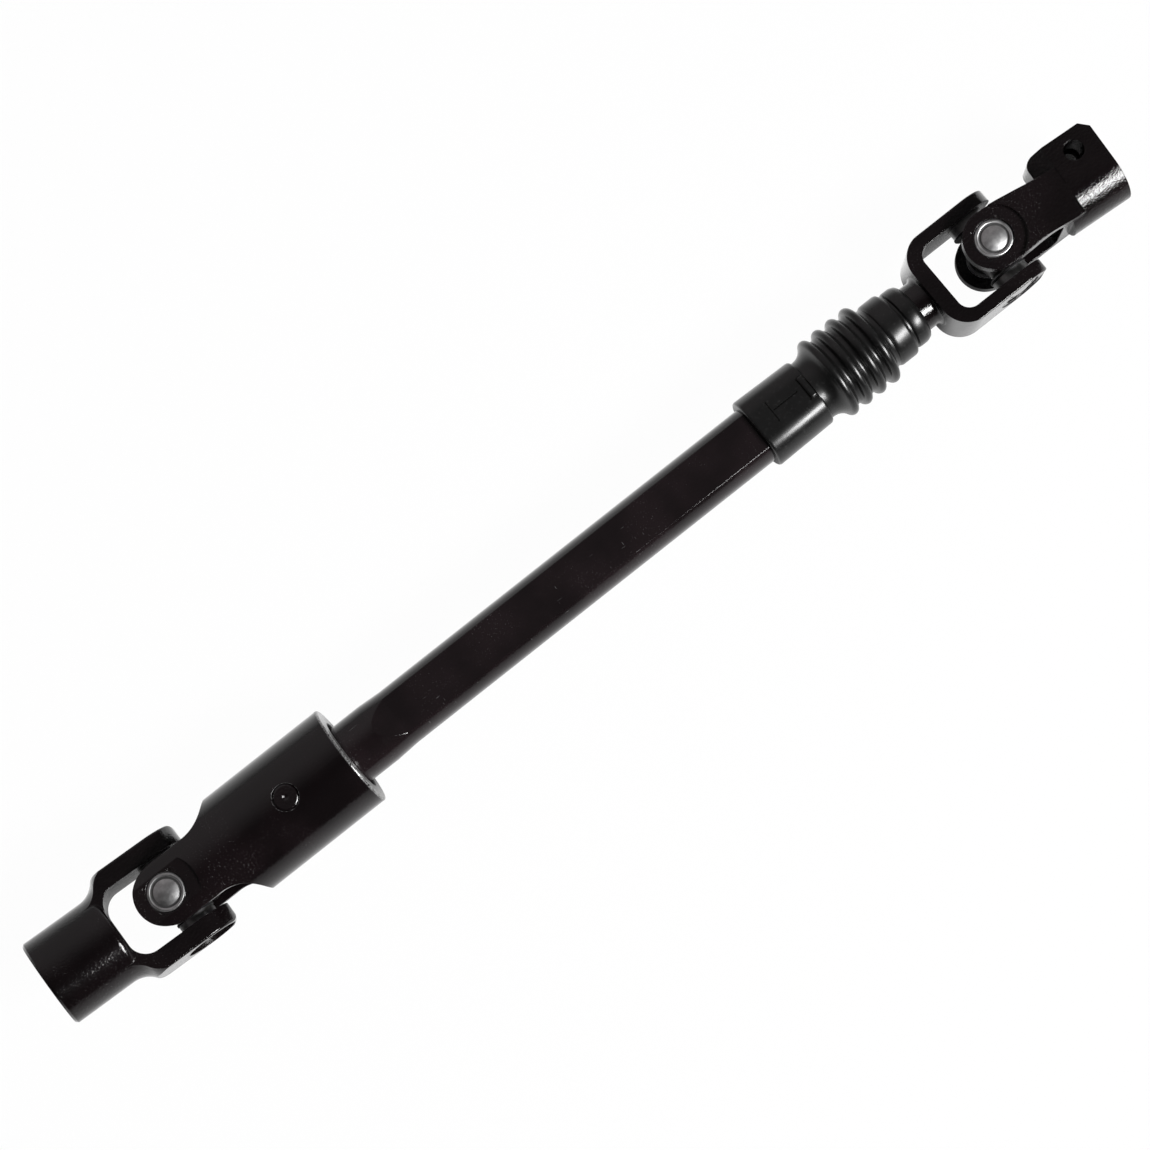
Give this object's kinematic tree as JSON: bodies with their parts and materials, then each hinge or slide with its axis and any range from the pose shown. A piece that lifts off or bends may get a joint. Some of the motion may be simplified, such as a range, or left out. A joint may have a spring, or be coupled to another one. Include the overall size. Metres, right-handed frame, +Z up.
{
  "type": "intermediate steering shaft",
  "caption": "Black steering shaft with a universal joint at each end, a sliding double-D tube under a rubber boot, and a clamp yoke at each end.",
  "frame": {"origin": "on the axis of the lower yoke's bore, where its straight wall starts just inside the mouth", "axes": "+X along the tube towards the steering column, +Z up from the surface the shaft lies on, +Y to the side of the upper clamp block"},
  "size_m": [0.5386, 0.0475, 0.054],
  "materials": {
    "black_paint": "gloss",
    "cup_steel": "satin",
    "ground_steel": "ground",
    "seal_rubber": "matte",
    "bush_rubber": "matte",
    "boot_rubber": "matte",
    "liner_plastic": "matte"
  },
  "bodies": {
    "outer_shaft": {"coupling_yoke": "black_paint", "coupling_pin": "black_paint", "isolator_bush": "bush_rubber", "outer_tube": "black_paint", "slide_liner": "liner_plastic", "boot": "boot_rubber", "lower_cup_top": "cup_steel", "lower_needles_top": "ground_steel", "lower_seal_top": "seal_rubber", "lower_cup_bottom": "cup_steel", "lower_needles_bottom": "ground_steel", "lower_seal_bottom": "seal_rubber"},
    "lower_cross": {"lower_cross": "ground_steel"},
    "lower_yoke": {"lower_yoke": "black_paint", "lower_cup_left": "cup_steel", "lower_needles_left": "ground_steel", "lower_seal_left": "seal_rubber", "lower_cup_right": "cup_steel", "lower_needles_right": "ground_steel", "lower_seal_right": "seal_rubber"},
    "inner_shaft": {"inner_shaft": "ground_steel", "upper_fork": "black_paint", "upper_cup_left": "cup_steel", "upper_needles_left": "ground_steel", "upper_seal_left": "seal_rubber", "upper_cup_right": "cup_steel", "upper_needles_right": "ground_steel", "upper_seal_right": "seal_rubber"},
    "upper_cross": {"upper_cross": "ground_steel"},
    "clamp_yoke": {"clamp_yoke": "black_paint", "upper_cup_top": "cup_steel", "upper_needles_top": "ground_steel", "upper_seal_top": "seal_rubber", "upper_cup_bottom": "cup_steel", "upper_needles_bottom": "ground_steel", "upper_seal_bottom": "seal_rubber"}
  },
  "joints": [
    {"name": "lower_joint_swing", "type": "hinge", "parent": "outer_shaft", "child": "lower_cross", "pos_m": [0.05811, -0.00081, -0.0132], "axis": [0, 0, 1], "range_deg": [-29.2, 30.8]},
    {"name": "lower_joint_tilt", "type": "hinge", "parent": "lower_cross", "child": "lower_yoke", "pos_m": [0.05811, -0.00081, -0.0132], "axis": [0.014, 0.9999, 0], "range_deg": [-42.8, 17.2]},
    {"name": "shaft_slide", "type": "slide", "parent": "outer_shaft", "child": "inner_shaft", "axis": [1, 0, 0], "range_m": [-0.018, 0.012], "deforming": ["boot"]},
    {"name": "upper_joint_tilt", "type": "hinge", "parent": "inner_shaft", "child": "upper_cross", "pos_m": [0.47341, -0.00081, -0.0132], "axis": [0, 1, 0], "range_deg": [-26.2, 33.8]},
    {"name": "upper_joint_swing", "type": "hinge", "parent": "upper_cross", "child": "clamp_yoke", "pos_m": [0.47341, -0.00081, -0.0132], "axis": [-0.0663, 0, 0.9978], "range_deg": [-25.4, 34.6]}
  ]
}
